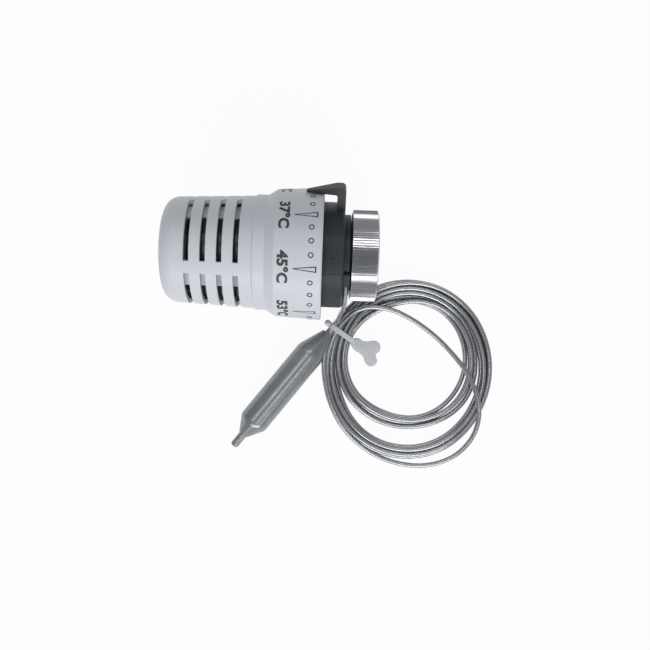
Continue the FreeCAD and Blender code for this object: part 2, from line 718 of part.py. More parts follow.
def capillary_coil():
    """The coil's outer shape: tight at the tie, fanned out opposite it."""
    outline = Part.Face([coil_outline(coil_outer), coil_outline(coil_inner)])
    outline.validate()
    coil = outline.extrude(UP * COIL_HEIGHT)
    under_tie = tie_frame(Part.makeBox(2 * COIL_TIE_OUTER, TIE_WIDTH + 2 * PASSING,
                                       TIE_THICKNESS + 0.2 + 1,
                                       V(0, -TIE_WIDTH / 2 - PASSING, -1)))
    return coil.cut([under_tie, bulb_solid(PASSING)])


def tie_frame(shape):
    """Moves a shape drawn along +X from the coil's centre to the tie."""
    middle = V((COIL_TIE_INNER + COIL_TIE_OUTER) / 2, 0, 0)
    shape = shape.rotated(middle, UP, TIE_TURN).rotated(ORIGIN, UP, COIL_TIE_ANGLE)
    return shape.translated(COIL_CENTRE + UP * floor_level)


def coil_tie():
    """Flat tie: a strap round the turns and a two-lobed tail inside the coil."""
    inner, outer = coil_inner(COIL_TIE_ANGLE) - TIE_ROOM, coil_outer(COIL_TIE_ANGLE) + TIE_ROOM
    wall = TIE_THICKNESS
    loops = []
    for grow, radius in ((wall, TIE_CORNER + wall), (0, TIE_CORNER)):
        corners = [V(inner - grow, 0, wall - grow), V(outer + grow, 0, wall - grow),
                   V(outer + grow, 0, TIE_HEIGHT + grow), V(inner - grow, 0, TIE_HEIGHT + grow)]
        loops.append(Part.Wire(rounded_edges(corners, [radius] * 4)))
    outline = Part.Face(loops[0]).cut(Part.Face(loops[1]))
    strap = outline.extrude(V(0, TIE_WIDTH, 0)).translated(V(0, -TIE_WIDTH / 2, 0))
    return tie_frame(strap.fuse(tie_paddle(inner - wall)).removeSplitter())


def tie_paddle(root):
    """Flat fishtail with two round lobes."""
    half, lobe = PADDLE_ROOT_WIDTH / 2, LOBE_RADIUS
    start, end = root + TIE_THICKNESS / 2, root - LOBE_REACH
    fan = [V(start, -TIE_WIDTH / 2, 0), V(start, TIE_WIDTH / 2, 0), V(root - 2, half, 0),
           V(end, LOBE_SPREAD + lobe, 0), V(end - lobe / 2, 0, 0),
           V(end, -LOBE_SPREAD - lobe, 0), V(root - 2, -half, 0)]
    fan = Part.Face(Part.Wire(rounded_edges(fan, [0, 0, 1.5, 0.3, 1.0, 0.3, 1.5])))
    fan = fan.extrude(UP * TIE_THICKNESS)
    lobes = [Part.makeCylinder(lobe, TIE_THICKNESS, V(end, side * LOBE_SPREAD, 0))
             for side in (-1, 1)]
    paddle = fan.fuse(lobes).removeSplitter()
    paddle = paddle.rotated(V(root, 0, 0), UP, PADDLE_TURN)
    return paddle.translated(UP * PADDLE_LEVEL)


def bulb_frame(shape):
    """Lays a shape drawn from the origin along +X down on the bulb's line, top end first."""
    shape = shape.rotated(ORIGIN, UP, BULB_DIRECTION + 180)
    return shape.translated(BULB_TOP + UP * bulb_level)


def bulb_solid(grow=0.0):
    """Swaged bulb with a long neck at the tube and a short one at the filling stub."""
    tail_end = BULB_LENGTH + BULB_END_LENGTH
    profile = [(-BULB_NECK_LENGTH - grow, 0), (-BULB_NECK_LENGTH - grow, BULB_NECK_RADIUS + grow),
               (0, BULB_RADIUS + grow, 6.0), (BULB_LENGTH, BULB_RADIUS + grow, 4.0),
               (tail_end + grow, BULB_END_RADIUS + grow, 0.5), (tail_end + grow, 0)]
    return bulb_frame(turned(profile))


def sensor_bulb():
    bores = [disc(-BULB_NECK_LENGTH - 1, -BULB_NECK_LENGTH + TAIL_INSERT, CAPILLARY_RADIUS + PRESSED),
             disc(BULB_LENGTH + BULB_END_LENGTH - STUB_INSERT, BULB_LENGTH + BULB_END_LENGTH + 1,
                  STUB_RADIUS + PRESSED)]
    return bulb_solid().cut([bulb_frame(bore) for bore in bores])


def bulb_fill_stub():
    """Pinched-off filling stub with a rounded end."""
    front = BULB_LENGTH + BULB_END_LENGTH - STUB_INSERT
    rear = BULB_LENGTH + BULB_END_LENGTH + STUB_LENGTH
    return bulb_frame(disc(front, rear, STUB_RADIUS, 1.2))


def capillary_tail():
    """Last run of tube between the coil and the bulb's neck."""
    rear = -BULB_NECK_LENGTH + TAIL_INSERT
    return bulb_frame(disc(rear - TAIL_LENGTH, rear, CAPILLARY_RADIUS))


def union_nut():
    """Knurled union nut with an inner lip behind the snap ring and a threaded mouth."""
    lip_bore = NECK_RADIUS + RUNNING
    edge = NUT_CHAMFER
    nut = turned([
        (nut_front, lip_bore), (nut_front, NUT_RADIUS - edge), (nut_front + edge, NUT_RADIUS),
        (nut_rear - edge, NUT_RADIUS), (nut_rear, NUT_RADIUS - edge),
        (nut_rear, THREAD_MINOR_RADIUS + THREAD_CHAMFER),
        (nut_rear - THREAD_CHAMFER, THREAD_MINOR_RADIUS), (THREAD_START, THREAD_MINOR_RADIUS),
        (THREAD_START, THREAD_RELIEF_RADIUS), (lip_rear, THREAD_RELIEF_RADIUS), (lip_rear, lip_bore)])
    pitch = 2 * math.pi * NUT_RADIUS / KNURLS
    half = 0.42 * pitch
    notch = Part.makePolygon([V(nut_front - 1, 0, NUT_RADIUS - KNURL_DEPTH),
                              V(nut_front - 1, half, NUT_RADIUS + 0.01),
                              V(nut_front - 1, half, NUT_RADIUS + 1),
                              V(nut_front - 1, -half, NUT_RADIUS + 1),
                              V(nut_front - 1, -half, NUT_RADIUS + 0.01),
                              V(nut_front - 1, 0, NUT_RADIUS - KNURL_DEPTH)])
    cutter = Part.Face(notch).extrude(V(NUT_LENGTH + 2, 0, 0))
    cutters = [turn(cutter, i * 360.0 / KNURLS) for i in range(KNURLS)]
    return nut.cut(Part.makeCompound(cutters))


PIECES = [
    base, guide_cage, handwheel_snap_ring, nut_snap_ring, capillary_gland, capillary_lead,
    capillary_coil, coil_tie, capillary_tail, sensor_bulb, bulb_fill_stub, handwheel, union_nut,
    carriage_cup, capsule_retaining_ring, overtravel_spring, spring_washer, capsule_can,
    capsule_rear_plate, bellows, capillary_pigtail, push_rod, push_rod_pin, return_spring,
]


def main():
    os.makedirs("parts", exist_ok=True)
    for piece in PIECES:
        shape = piece()
        name = piece.__name__
        if not shape.isValid() or len(shape.Solids) != 1:
            print("check", name, "valid", shape.isValid(), "solids", len(shape.Solids))
        if len(shape.Solids) == 1:
            shape = shape.Solids[0]
        shape.exportStep("parts/" + name + ".step")
        box = shape.BoundBox
        print(name, "volume", round(shape.Volume, 1), "x", round(box.XMin, 2), round(box.XMax, 2),
              "y", round(box.YMin, 2), round(box.YMax, 2), "z", round(box.ZMin, 2), round(box.ZMax, 2))


main()
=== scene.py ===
"""Dresses the radiator head: dial print, tube coil, tie, nut, finishes and stage. Metres."""

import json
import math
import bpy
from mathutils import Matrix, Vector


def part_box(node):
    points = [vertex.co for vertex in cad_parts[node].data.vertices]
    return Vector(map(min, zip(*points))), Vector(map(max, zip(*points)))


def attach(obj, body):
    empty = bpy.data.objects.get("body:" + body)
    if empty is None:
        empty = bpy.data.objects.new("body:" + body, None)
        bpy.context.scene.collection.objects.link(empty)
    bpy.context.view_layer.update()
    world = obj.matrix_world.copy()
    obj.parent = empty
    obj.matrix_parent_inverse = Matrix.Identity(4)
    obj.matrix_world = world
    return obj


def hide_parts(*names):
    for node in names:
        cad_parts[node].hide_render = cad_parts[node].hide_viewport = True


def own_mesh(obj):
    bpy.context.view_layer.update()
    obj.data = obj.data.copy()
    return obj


bl_info = {
    "name": "Radiator head with remote bulb",
    "version": (1, 0, 0),
    "blender": (4, 5, 0),
    "location": "View3D > Sidebar > Radiator head",
    "description": "Dial print, tube coil, tie, union nut, finishes and stage for the radiator head",
    "category": "Object",
}

import bmesh
import bpy
from bpy.props import FloatProperty, FloatVectorProperty, IntProperty, PointerProperty
from mathutils import Matrix, Vector

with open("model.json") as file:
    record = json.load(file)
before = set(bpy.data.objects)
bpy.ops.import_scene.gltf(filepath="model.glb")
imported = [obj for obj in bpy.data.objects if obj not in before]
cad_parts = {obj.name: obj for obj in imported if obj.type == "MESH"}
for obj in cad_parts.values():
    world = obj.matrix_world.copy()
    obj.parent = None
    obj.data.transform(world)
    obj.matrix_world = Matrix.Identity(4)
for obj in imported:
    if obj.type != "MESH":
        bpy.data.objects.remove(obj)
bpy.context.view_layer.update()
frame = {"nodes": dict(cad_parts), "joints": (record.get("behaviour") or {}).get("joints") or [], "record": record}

MM = 0.001
WHEEL_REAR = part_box("handwheel")[1].x
RING_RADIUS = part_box("handwheel")[1].z
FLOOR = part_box("capillary_coil")[0].z
NUT_FRONT, NUT_REAR = (corner.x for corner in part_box("union_nut"))
NUT_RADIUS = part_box("union_nut")[1].z


# Node trees

class Value:
    """One output of a node; arithmetic on it adds Math nodes."""

    def __init__(self, graph, socket):
        self.graph, self.socket = graph, socket

    def _math(self, operation, *values):
        return self.graph.add("ShaderNodeMath", {"operation": operation}, dict(enumerate(values)))

    def __add__(self, other):
        return self._math("ADD", self, other)

    def __mul__(self, other):
        return self._math("MULTIPLY", self, other)

    def __sub__(self, other):
        return self._math("SUBTRACT", self, other)

    def __rsub__(self, other):
        return self._math("SUBTRACT", other, self)

    def __mod__(self, other):
        return self._math("MODULO", self, other)

    __radd__ = __add__
    __rmul__ = __mul__

    def sine(self):
        return self._math("SINE", self)

    def cosine(self):
        return self._math("COSINE", self)

    def under(self, level):
        """1 where the value is under a level, else 0."""
        return self._math("LESS_THAN", self, level)


class Graph:
    """A node tree and the nodes added to it."""

    def __init__(self, tree):
        self.tree = tree

    def set(self, sockets, node):
        """Sets a node's sockets to values or links them, by name or number."""
        for key, value in sockets.items():
            if isinstance(value, Value):
                self.tree.links.new(value.socket, node.inputs[key])
            else:
                node.inputs[key].default_value = value

    def add(self, kind, settings=None, sockets=None, output=0):
        """Adds a node with its settings first and its sockets after, and gives one output."""
        node = self.tree.nodes.new(kind)
        for key, value in (settings or {}).items():
            setattr(node, key, value)
        self.set(sockets or {}, node)
        return Value(self, node.outputs[output])


class Finish(Graph):
    """One material: a Principled shader and the nodes that vary it."""

    def __init__(self, name, sockets):
        self.material = bpy.data.materials.new(name)
        self.material.use_nodes = True
        super().__init__(self.material.node_tree)
        self.shader = self.tree.nodes["Principled BSDF"]
        self.surface(sockets)

    def surface(self, sockets):
        self.set(sockets, self.shader)

    def noise(self, size, detail=3.0, stretch=(1, 1, 1)):
        """Soft noise with blotches about one size across, in metres, finer where stretched."""
        point = self.add("ShaderNodeTexCoord", output="Object")
        point = self.add("ShaderNodeMapping", {"vector_type": "POINT"},
                         {"Vector": point, "Scale": stretch})
        return self.add("ShaderNodeTexNoise", {},
                        {"Vector": point, "Scale": 1 / size, "Detail": detail})

    def blend(self, share, first, second):
        """A colour between two colours."""
        return self.add("ShaderNodeMix", {"data_type": "RGBA"},
                        {0: share, 6: (*first, 1), 7: (*second, 1)}, 2)

    def bump(self, height, depth, strength=1.0):
        """Fine relief of a depth in metres, where height runs from 0 to 1."""
        self.surface({"Normal": self.add("ShaderNodeBump", {},
                                         {"Strength": strength, "Distance": depth,
                                          "Height": height})})


class Pattern(Graph):
    """A Geometry Nodes tree with named inputs, which makes real geometry of one material."""

    KINDS = {int: "NodeSocketInt", float: "NodeSocketFloat"}

    def __init__(self, name, sizes, material):
        super().__init__(bpy.data.node_groups.new(name, "GeometryNodeTree"))
        self.sizes = {**sizes, "Material": material}
        self.keys = {}
        for label, value in self.sizes.items():
            kind = self.KINDS.get(type(value), "NodeSocketMaterial")
            socket = self.tree.interface.new_socket(label, in_out="INPUT", socket_type=kind)
            self.keys[label] = socket.identifier
        self.tree.interface.new_socket("Geometry", in_out="OUTPUT",
                                       socket_type="NodeSocketGeometry")
        self.entry = self.tree.nodes.new("NodeGroupInput")

    def size(self, label):
        return Value(self, self.entry.outputs[label])

    def mesh(self, geometry):
        """Ends the tree, runs it as a modifier, and gives its result as a plain mesh."""
        geometry = self.add("GeometryNodeRealizeInstances", {}, {"Geometry": geometry})
        geometry = self.add("GeometryNodeSetMaterial", {},
                            {"Geometry": geometry, "Material": self.size("Material")})
        self.set({0: geometry}, self.tree.nodes.new("NodeGroupOutput"))
        holder = placed(self.tree.name, bpy.data.meshes.new(self.tree.name))
        maker = holder.modifiers.new("pattern", "NODES")
        maker.node_group = self.tree
        for label, value in self.sizes.items():
            maker[self.keys[label]] = value
        result = evaluated_mesh(holder)
        holder.modifiers.remove(maker)
        bpy.data.objects.remove(holder)
        return result


def shade_of(tone, factor):
    """A colour, darker or lighter."""
    return tuple(channel * factor for channel in tone)


# Finishes

TUBE_METAL = 0.85        # metallic share of the tinned tube
BULB_ROUGHNESS, BULB_METAL = 0.24, 0.6


def white_moulding(tone):
    """Light grey moulding: almost even, with a fine sparked skin."""
    finish = Finish("white_moulding", {"Specular IOR Level": 0.45})
    cloud = finish.noise(0.02)
    grain = finish.noise(0.00025, 4.0)
    finish.surface({"Base Color": finish.blend(cloud, shade_of(tone, 0.96), shade_of(tone, 1.03)),
                    "Roughness": 0.38 + 0.1 * grain})
    finish.bump(grain, 0.00001, 0.5)
    return finish.material


def charcoal_moulding(tone):
    """Dark moulding with a satin skin, a little uneven in tone."""
    finish = Finish("charcoal_moulding", {"Specular IOR Level": 0.35})
    cloud = finish.noise(0.012)
    grain = finish.noise(0.0003, 4.0)
    finish.surface({"Base Color": finish.blend(cloud, shade_of(tone, 0.8), shade_of(tone, 1.25)),
                    "Roughness": 0.42 + 0.12 * grain})
    finish.bump(grain, 0.000012, 0.5)
    return finish.material


def black_moulding(tone):
    """Glossy black moulding."""
    finish = Finish("black_moulding", {"Base Color": (*tone, 1), "Specular IOR Level": 0.4})
    cloud = finish.noise(0.008)
    finish.surface({"Roughness": 0.2 + 0.12 * cloud})
    return finish.material


def nickel(tone):
    """Bright nickel with faint turning marks round the axis."""
    finish = Finish("bright_nickel", {"Metallic": 1.0})
    marks = finish.noise(0.0006, 2.0, (6, 1, 1))
    cloud = finish.noise(0.006)
    finish.surface({"Base Color": finish.blend(cloud, shade_of(tone, 0.88), tone),
                    "Roughness": 0.12 + 0.12 * marks})
    finish.bump(marks, 0.00001, 0.3)
    return finish.material


def tinned_metal(name, tone, roughness, metal):
    """Dull tinned metal with slight stains and a soft, uneven shine."""
    finish = Finish(name, {"Metallic": metal})
    stain = finish.noise(0.006, 3.0)
    worn = finish.noise(0.004, 2.0)
    finish.surface({"Base Color": finish.blend(stain, shade_of(tone, 0.75), shade_of(tone, 1.1)),
                    "Roughness": roughness + 0.08 * worn})
    return finish.material


def bright_steel(tone):
    """Drawn steel wire and sheet, bright, with fine marks."""
    finish = Finish("bright_steel", {"Metallic": 1.0})
    marks = finish.noise(0.0004, 2.0)
    finish.surface({"Base Color": finish.blend(marks, shade_of(tone, 0.9), tone),
                    "Roughness": 0.25 + 0.12 * marks})
    return finish.material


def drawn_brass(tone):
    """Drawn brass, a little cloudy."""
    finish = Finish("drawn_brass", {"Metallic": 1.0})
    cloud = finish.noise(0.005)
    finish.surface({"Base Color": finish.blend(cloud, shade_of(tone, 0.85), tone),
                    "Roughness": 0.2 + 0.15 * cloud})
    return finish.material


def milky_plastic(tone):
    """Natural plastic, soft and waxy, a little cloudy."""
    finish = Finish("milky_plastic", {"Subsurface Weight": 0.25, "Subsurface Scale": 0.001})
    cloud = finish.noise(0.003)
    finish.surface({"Base Color": finish.blend(cloud, shade_of(tone, 0.92), shade_of(tone, 1.04)),
                    "Roughness": 0.34 + 0.12 * cloud})
    finish.bump(cloud, 0.00008, 0.3)
    return finish.material


def dial_ink(tone):
    """Flat ink, a little thin in places."""
    finish = Finish("dial_ink", {"Roughness": 0.5})
    wear = finish.noise(0.0006, 4.0)
    finish.surface({"Base Color": finish.blend(wear, tone, shade_of(tone, 1.6))})
    return finish.material


def paper_floor(glow):
    """White floor that keeps a faint shadow."""
    finish = Finish("paper_floor", {"Base Color": (0.9, 0.9, 0.9, 1), "Roughness": 0.9,
                                    "Specular IOR Level": 0.1})
    path = finish.tree.nodes.new("ShaderNodeLightPath")
    seen = [Value(finish, path.outputs[f"Is {ray} Ray"])
            for ray in ("Camera", "Glossy", "Transmission")]
    lamp = finish.add("ShaderNodeEmission", {}, {"Color": (1, 1, 1, 1), "Strength": 1.0})
    mixed = finish.add("ShaderNodeMixShader", {},
                       {0: (seen[0] + seen[1] + seen[2]) * glow,
                        1: Value(finish, finish.shader.outputs[0]), 2: lamp})
    finish.set({0: mixed}, finish.tree.nodes["Material Output"])
    return finish.material


# Meshes

def evaluated_mesh(holder):
    """An object's shape with its modifiers or its curve worked out."""
    bpy.context.view_layer.update()
    graph = bpy.context.evaluated_depsgraph_get()
    return bpy.data.meshes.new_from_object(holder.evaluated_get(graph))


def placed(name, data):
    """A new object in the scene."""
    piece = bpy.data.objects.new(name, data)
    bpy.context.scene.collection.objects.link(piece)
    return piece


def curve_mesh(curve):
    """A curve's shape as a mesh."""
    holder = placed(curve.name, curve)
    mesh = evaluated_mesh(holder)
    bpy.data.objects.remove(holder)
    return mesh


def mesh_object(name, mesh, material):
    """A new object of one mesh and one material."""
    piece = placed(name, mesh)
    piece.data.materials.clear()
    piece.data.materials.append(material)
    return piece


def finished(work, name):
    """Turns a bmesh into a new mesh."""
    mesh = bpy.data.meshes.new(name)
    work.to_mesh(mesh)
    work.free()
    return mesh


def joined(work, name):
    """Turns a bmesh whose faces may point either way into a new mesh."""
    bmesh.ops.remove_doubles(work, verts=work.verts, dist=1e-7)
    bmesh.ops.recalc_face_normals(work, faces=work.faces)
    return finished(work, name)


def smooth_faces(mesh, sharpest):
    """Shades a mesh smooth, except over edges sharper than an angle."""
    mesh.shade_smooth()
    mesh.set_sharp_from_angle(angle=math.radians(sharpest))


def band(work, loops):
    """Faces between closed rows of points, the last row joined to the first."""
    rows = [[work.verts.new(point) for point in loop] for loop in loops]
    for one, two in zip(rows, rows[1:] + rows[:1]):
        for i, corner in enumerate(one):
            after = (i + 1) % len(one)
            work.faces.new((corner, one[after], two[after], two[i]))


def sliced(mesh, width, strips):
    """Cuts a drawing across into narrow strips, so that it follows the ring when it is bent."""
    work = bmesh.new()
    work.from_mesh(mesh)
    bmesh.ops.remove_doubles(work, verts=work.verts, dist=1e-6)
    for i in range(1, strips):
        bmesh.ops.bisect_plane(work, geom=work.verts[:] + work.edges[:] + work.faces[:],
                               plane_co=(width * (i / strips - 0.5), 0, 0), plane_no=(1, 0, 0))
    work.to_mesh(mesh)
    work.free()
    return mesh


def blend_of(values, place):
    """Smooth run through evenly spaced values, read at a place counted in steps."""
    last = len(values) - 1
    step = max(0, min(last - 1, int(place)))
    share = place - step
    a, b, c, d = (values[max(0, min(last, step + i))] for i in (-1, 0, 1, 2))
    return b + share / 2 * (c - a + share * (2 * a - 5 * b + 4 * c - d
                                             + share * (3 * (b - c) + d - a)))


def swell(angle, centre, power):
    """1 at the centre angle, falling smoothly to 0 opposite it. Degrees."""
    return ((1 + math.cos(math.radians(angle - centre))) / 2) ** power


# Settings

def length(name, description, millimetres, precision=5):
    """A length whose default is given in millimetres."""
    return FloatProperty(name=name, description=description, default=millimetres * MM,
                         unit="LENGTH", precision=precision)


def angle(name, description, degrees):
    """An angle whose default is given in degrees."""
    return FloatProperty(name=name, description=description, default=math.radians(degrees),
                         subtype="ANGLE")


def colour(name, description, default):
    """A colour with channels from 0 to 1."""
    return FloatVectorProperty(name=name, description=description, default=default,
                               subtype="COLOR", min=0, max=1)


class DialSettings(bpy.types.PropertyGroup):
    """Sizes of the print on the dial ring."""

    taper: FloatProperty(name="Taper", description="Growth of the ring's radius along the axis",
                         default=0.8 / 17.5)
    coldest: IntProperty(name="Coldest", description="First marked temperature", default=21)
    warmest: IntProperty(name="Warmest", description="Last marked temperature", default=69)
    step: IntProperty(name="Step", description="Degrees between numbers", default=8)
    dot_step: IntProperty(name="Dot step", description="Degrees between small rings", default=2)
    turn_per_degree: angle("Turn per degree", "Angle on the ring for one degree of the scale", 5.87)
    reference: IntProperty(name="Reference", description="Temperature at the reference angle",
                           default=37)
    reference_angle: angle("Reference angle", "Angle of that temperature from +Z", 29.4)
    number_shift: angle("Number shift", "Turn of the numbers ahead of their wedges", 1.1)
    number_height: length("Number height", "Height of the numbers", 4.3)
    number_width: length("Number width", "Width of a number with its unit", 12.5)
    number_place: length("Number place", "From the ring's rear edge", 14.1)
    number_weight: FloatProperty(name="Number weight", description="Boldness of the numbers",
                                 default=0.045)
    wedge_length: length("Wedge length", "Length of a pointer wedge", 8.6)
    wedge_width: length("Wedge width", "Width of its broad end", 2.4)
    wedge_place: length("Wedge place", "From the ring's rear edge", 6.2)
    dot_radius: length("Dot radius", "Middle of a small ring's line", 0.82)
    dot_place: length("Dot place", "From the ring's rear edge", 4.1)
    wedge_stroke: length("Wedge stroke", "Width of a wedge's outline", 0.5)
    stroke: length("Stroke", "Width of a printed line", 0.4)
    film: length("Film", "Thickness of the ink", 0.05, 6)
    ink: colour("Ink", "Colour of the print", (0.03, 0.034, 0.04))


class CoilSettings(bpy.types.PropertyGroup):
    """Sizes of the capillary tube and its coil."""

    diameter: length("Tube diameter", "Outside of the tube", 2.0)
    centre: FloatVectorProperty(name="Coil centre", description="Middle of the coil on the floor",
                                size=2, default=(21.7 * MM, -43.6 * MM), unit="LENGTH", precision=5)
    tie_angle: angle("Tie angle", "Where the tie holds the turns", 153.0)
    tie_lift: length("Lift at the tie", "How far the tie lifts the turns", 1.2)
    points_per_turn: IntProperty(name="Points per turn", description="Control points of one turn",
                                 default=20)
    length: FloatProperty(name="Tube length", description="Real length of the free tube",
                          default=1.9, unit="LENGTH")
    tone: colour("Tube colour", "Colour of the tinned tube", (0.42, 0.43, 0.45))
    dullness: FloatProperty(name="Tube dullness", description="Roughness of the tube",
                            default=0.2, min=0, max=1)


class TieSettings(bpy.types.PropertyGroup):
    """Sizes of the tie round the coil, drawn outwards from the coil's centre."""

    inner: length("Inner wall", "From the coil's centre", 25.2)
    outer: length("Outer wall", "From the coil's centre", 36.9)
    width: length("Strap width", "Width of the strap", 2.2)
    thickness: length("Thickness", "Thickness of strap and tail", 0.9)
    height: length("Height", "Room under the strap at its outer side", 7.4)
    inner_height: length("Inner height", "Room at its inner side", 5.6)
    turn: angle("Turn", "From square across the turns", -7.0)
    shift: length("Shift", "Along the turns", 0.5)
    tail_level: length("Tail level", "Height of the tail's underside", 3.4)
    button: length("Button", "Radius of the round end", 1.3)


class NutSettings(bpy.types.PropertyGroup):
    """Sizes of the union nut."""

    knurls: IntProperty(name="Knurls", description="Ridges round the nut", default=112)
    ridge: length("Ridge", "Circumradius of a ridge's section", 0.567, 6)
    ridge_spread: FloatProperty(name="Ridge spread", description="Widening of a ridge's section",
                                default=1.7)
    knurl_depth: length("Knurl depth", "From ridge to valley", 0.42)
    chamfer: length("Chamfer", "At both outer edges", 0.5)
    lip_bore: length("Lip bore", "Radius of the bore in the front lip", 13.08)
    lip: length("Lip", "Thickness of the front lip", 1.9)
    relief: length("Relief", "Radius in front of the thread", 15.2)
    relief_end: length("Relief end", "From the front face", 4.5)
    thread_crest: length("Thread crest", "Radius of the thread's crests", 14.19)
    thread_depth: length("Thread depth", "From crest to root", 0.81)
    thread_pitch: length("Thread pitch", "Advance of one turn", 1.5)
    mouth: length("Mouth", "Chamfer at the thread's mouth", 0.8)


class SpringSettings(bpy.types.PropertyGroup):
    """Wires of the two compression springs inside."""

    overtravel_wire: length("Overtravel wire", "Wire diameter", 1.8)
    overtravel_turns: FloatProperty(name="Overtravel turns", description="Number of turns",
                                    default=5.0)
    return_wire: length("Return wire", "Wire diameter", 1.2)
    return_turns: FloatProperty(name="Return turns", description="Number of turns", default=5.5)


class FinishSettings(bpy.types.PropertyGroup):
    """Colours of the mouldings and metals."""

    white: colour("White moulding", "Handwheel and cage", (0.62, 0.64, 0.68))
    charcoal: colour("Charcoal moulding", "Base", (0.022, 0.028, 0.032))
    black: colour("Black moulding", "Carriage and rod", (0.008, 0.008, 0.01))
    nickel: colour("Nickel", "Union nut", (0.52, 0.53, 0.55))
    bulb: colour("Bulb metal", "Sensing bulb and stub", (0.3, 0.32, 0.34))
    steel: colour("Spring steel", "Springs and rings", (0.5, 0.51, 0.53))
    brass: colour("Brass", "Capsule and bellows", (0.72, 0.55, 0.3))
    tie: colour("Tie", "Milky plastic of the tie", (0.6, 0.62, 0.65))


class StageSettings(bpy.types.PropertyGroup):
    """Camera and light."""

    camera_place: FloatVectorProperty(name="Camera place", description="Where the camera hangs",
                                      default=(-12.93 * MM, -27.05 * MM, 304.8 * MM), unit="LENGTH",
                                      precision=5)
    camera_turn: angle("Camera turn", "Turn about the upright line", 2.1)
    lens: FloatProperty(name="Lens", description="Focal length in millimetres on a 36 mm sensor",
                        default=43.8)
    near_power: FloatProperty(name="Near lamp", description="Power of the lamp on the coil's side",
                              default=4.1)
    far_power: FloatProperty(name="Far lamp", description="Power of the lamp on the pointer's side",
                             default=0.75)
    strip_power: FloatProperty(name="Strips", description="Power of each narrow strip lamp",
                               default=0.2)
    sky: FloatProperty(name="Sky", description="Strength of the surrounding light", default=0.35)
    floor_glow: FloatProperty(name="Floor glow", description="Share of plain white in the floor",
                              default=0.95, min=0, max=1)


# Dial

WEDGE_STEPS = 8          # along a wedge's side
WEDGE_TIP = 0.12         # width of a wedge's tip as a share of its broad end
WEDGE_POINT = 3.2        # strokes from its outer tip to its inner one
WEDGE_STRIPS, NUMBER_STRIPS = 6, 24


def dial_angle(temperature):
    """Angle from +Z of a temperature's mark."""
    dial = bpy.context.scene.dial
    return dial.reference_angle - (temperature - dial.reference) * dial.turn_per_degree


def wrap_on_ring(mesh, place, angle):
    """Bends a flat drawing onto the ring. Its +X runs round the ring, its +Y towards the nut."""
    dial = bpy.context.scene.dial
    for vertex in mesh.vertices:
        along, across, lift = vertex.co
        x = WHEEL_REAR - place + across
        radius = RING_RADIUS + (x - WHEEL_REAR) * dial.taper + lift
        around = angle - along / RING_RADIUS
        vertex.co = (x, radius * math.sin(around), radius * math.cos(around))


def wedge_drawing(dial):
    """Outlined wedge, pointing down the drawing, cut into short steps so that it bends."""
    def outline(half, low, high):
        shares = [i / WEDGE_STEPS for i in range(WEDGE_STEPS + 1)]
        right = [(half * (WEDGE_TIP + (1 - WEDGE_TIP) * share), low + (high - low) * share)
                 for share in shares]
        return right + [(-x, y) for x, y in reversed(right)]

    half, end, stroke = dial.wedge_width / 2, dial.wedge_length / 2, dial.wedge_stroke
    outer = outline(half, -end, end)
    inner = outline(half - stroke, -end + WEDGE_POINT * stroke, end - stroke)
    work = bmesh.new()
    band(work, [[(x, y, z) for x, y in loop] for loop, z in
                ((outer, 0), (outer, dial.film), (inner, dial.film), (inner, 0))])
    return sliced(joined(work, "wedge"), dial.wedge_width, WEDGE_STRIPS)


def number_drawing(words, dial):
    """Words as a thin solid of a given height and width, centred."""
    curve = bpy.data.curves.new("words", "FONT")
    curve.body = words
    curve.offset = dial.number_weight
    curve.extrude = 0.01
    curve.resolution_u = 4
    mesh = curve_mesh(curve)
    sizes = (dial.number_width, dial.number_height, dial.film)
    lows = [min(v.co[i] for v in mesh.vertices) for i in range(3)]
    highs = [max(v.co[i] for v in mesh.vertices) for i in range(3)]
    for vertex in mesh.vertices:
        shares = [(vertex.co[i] - lows[i]) / (highs[i] - lows[i]) for i in range(3)]
        vertex.co = ((shares[0] - 0.5) * sizes[0], (shares[1] - 0.5) * sizes[1],
                     shares[2] * sizes[2])
    return sliced(mesh, dial.number_width, NUMBER_STRIPS)


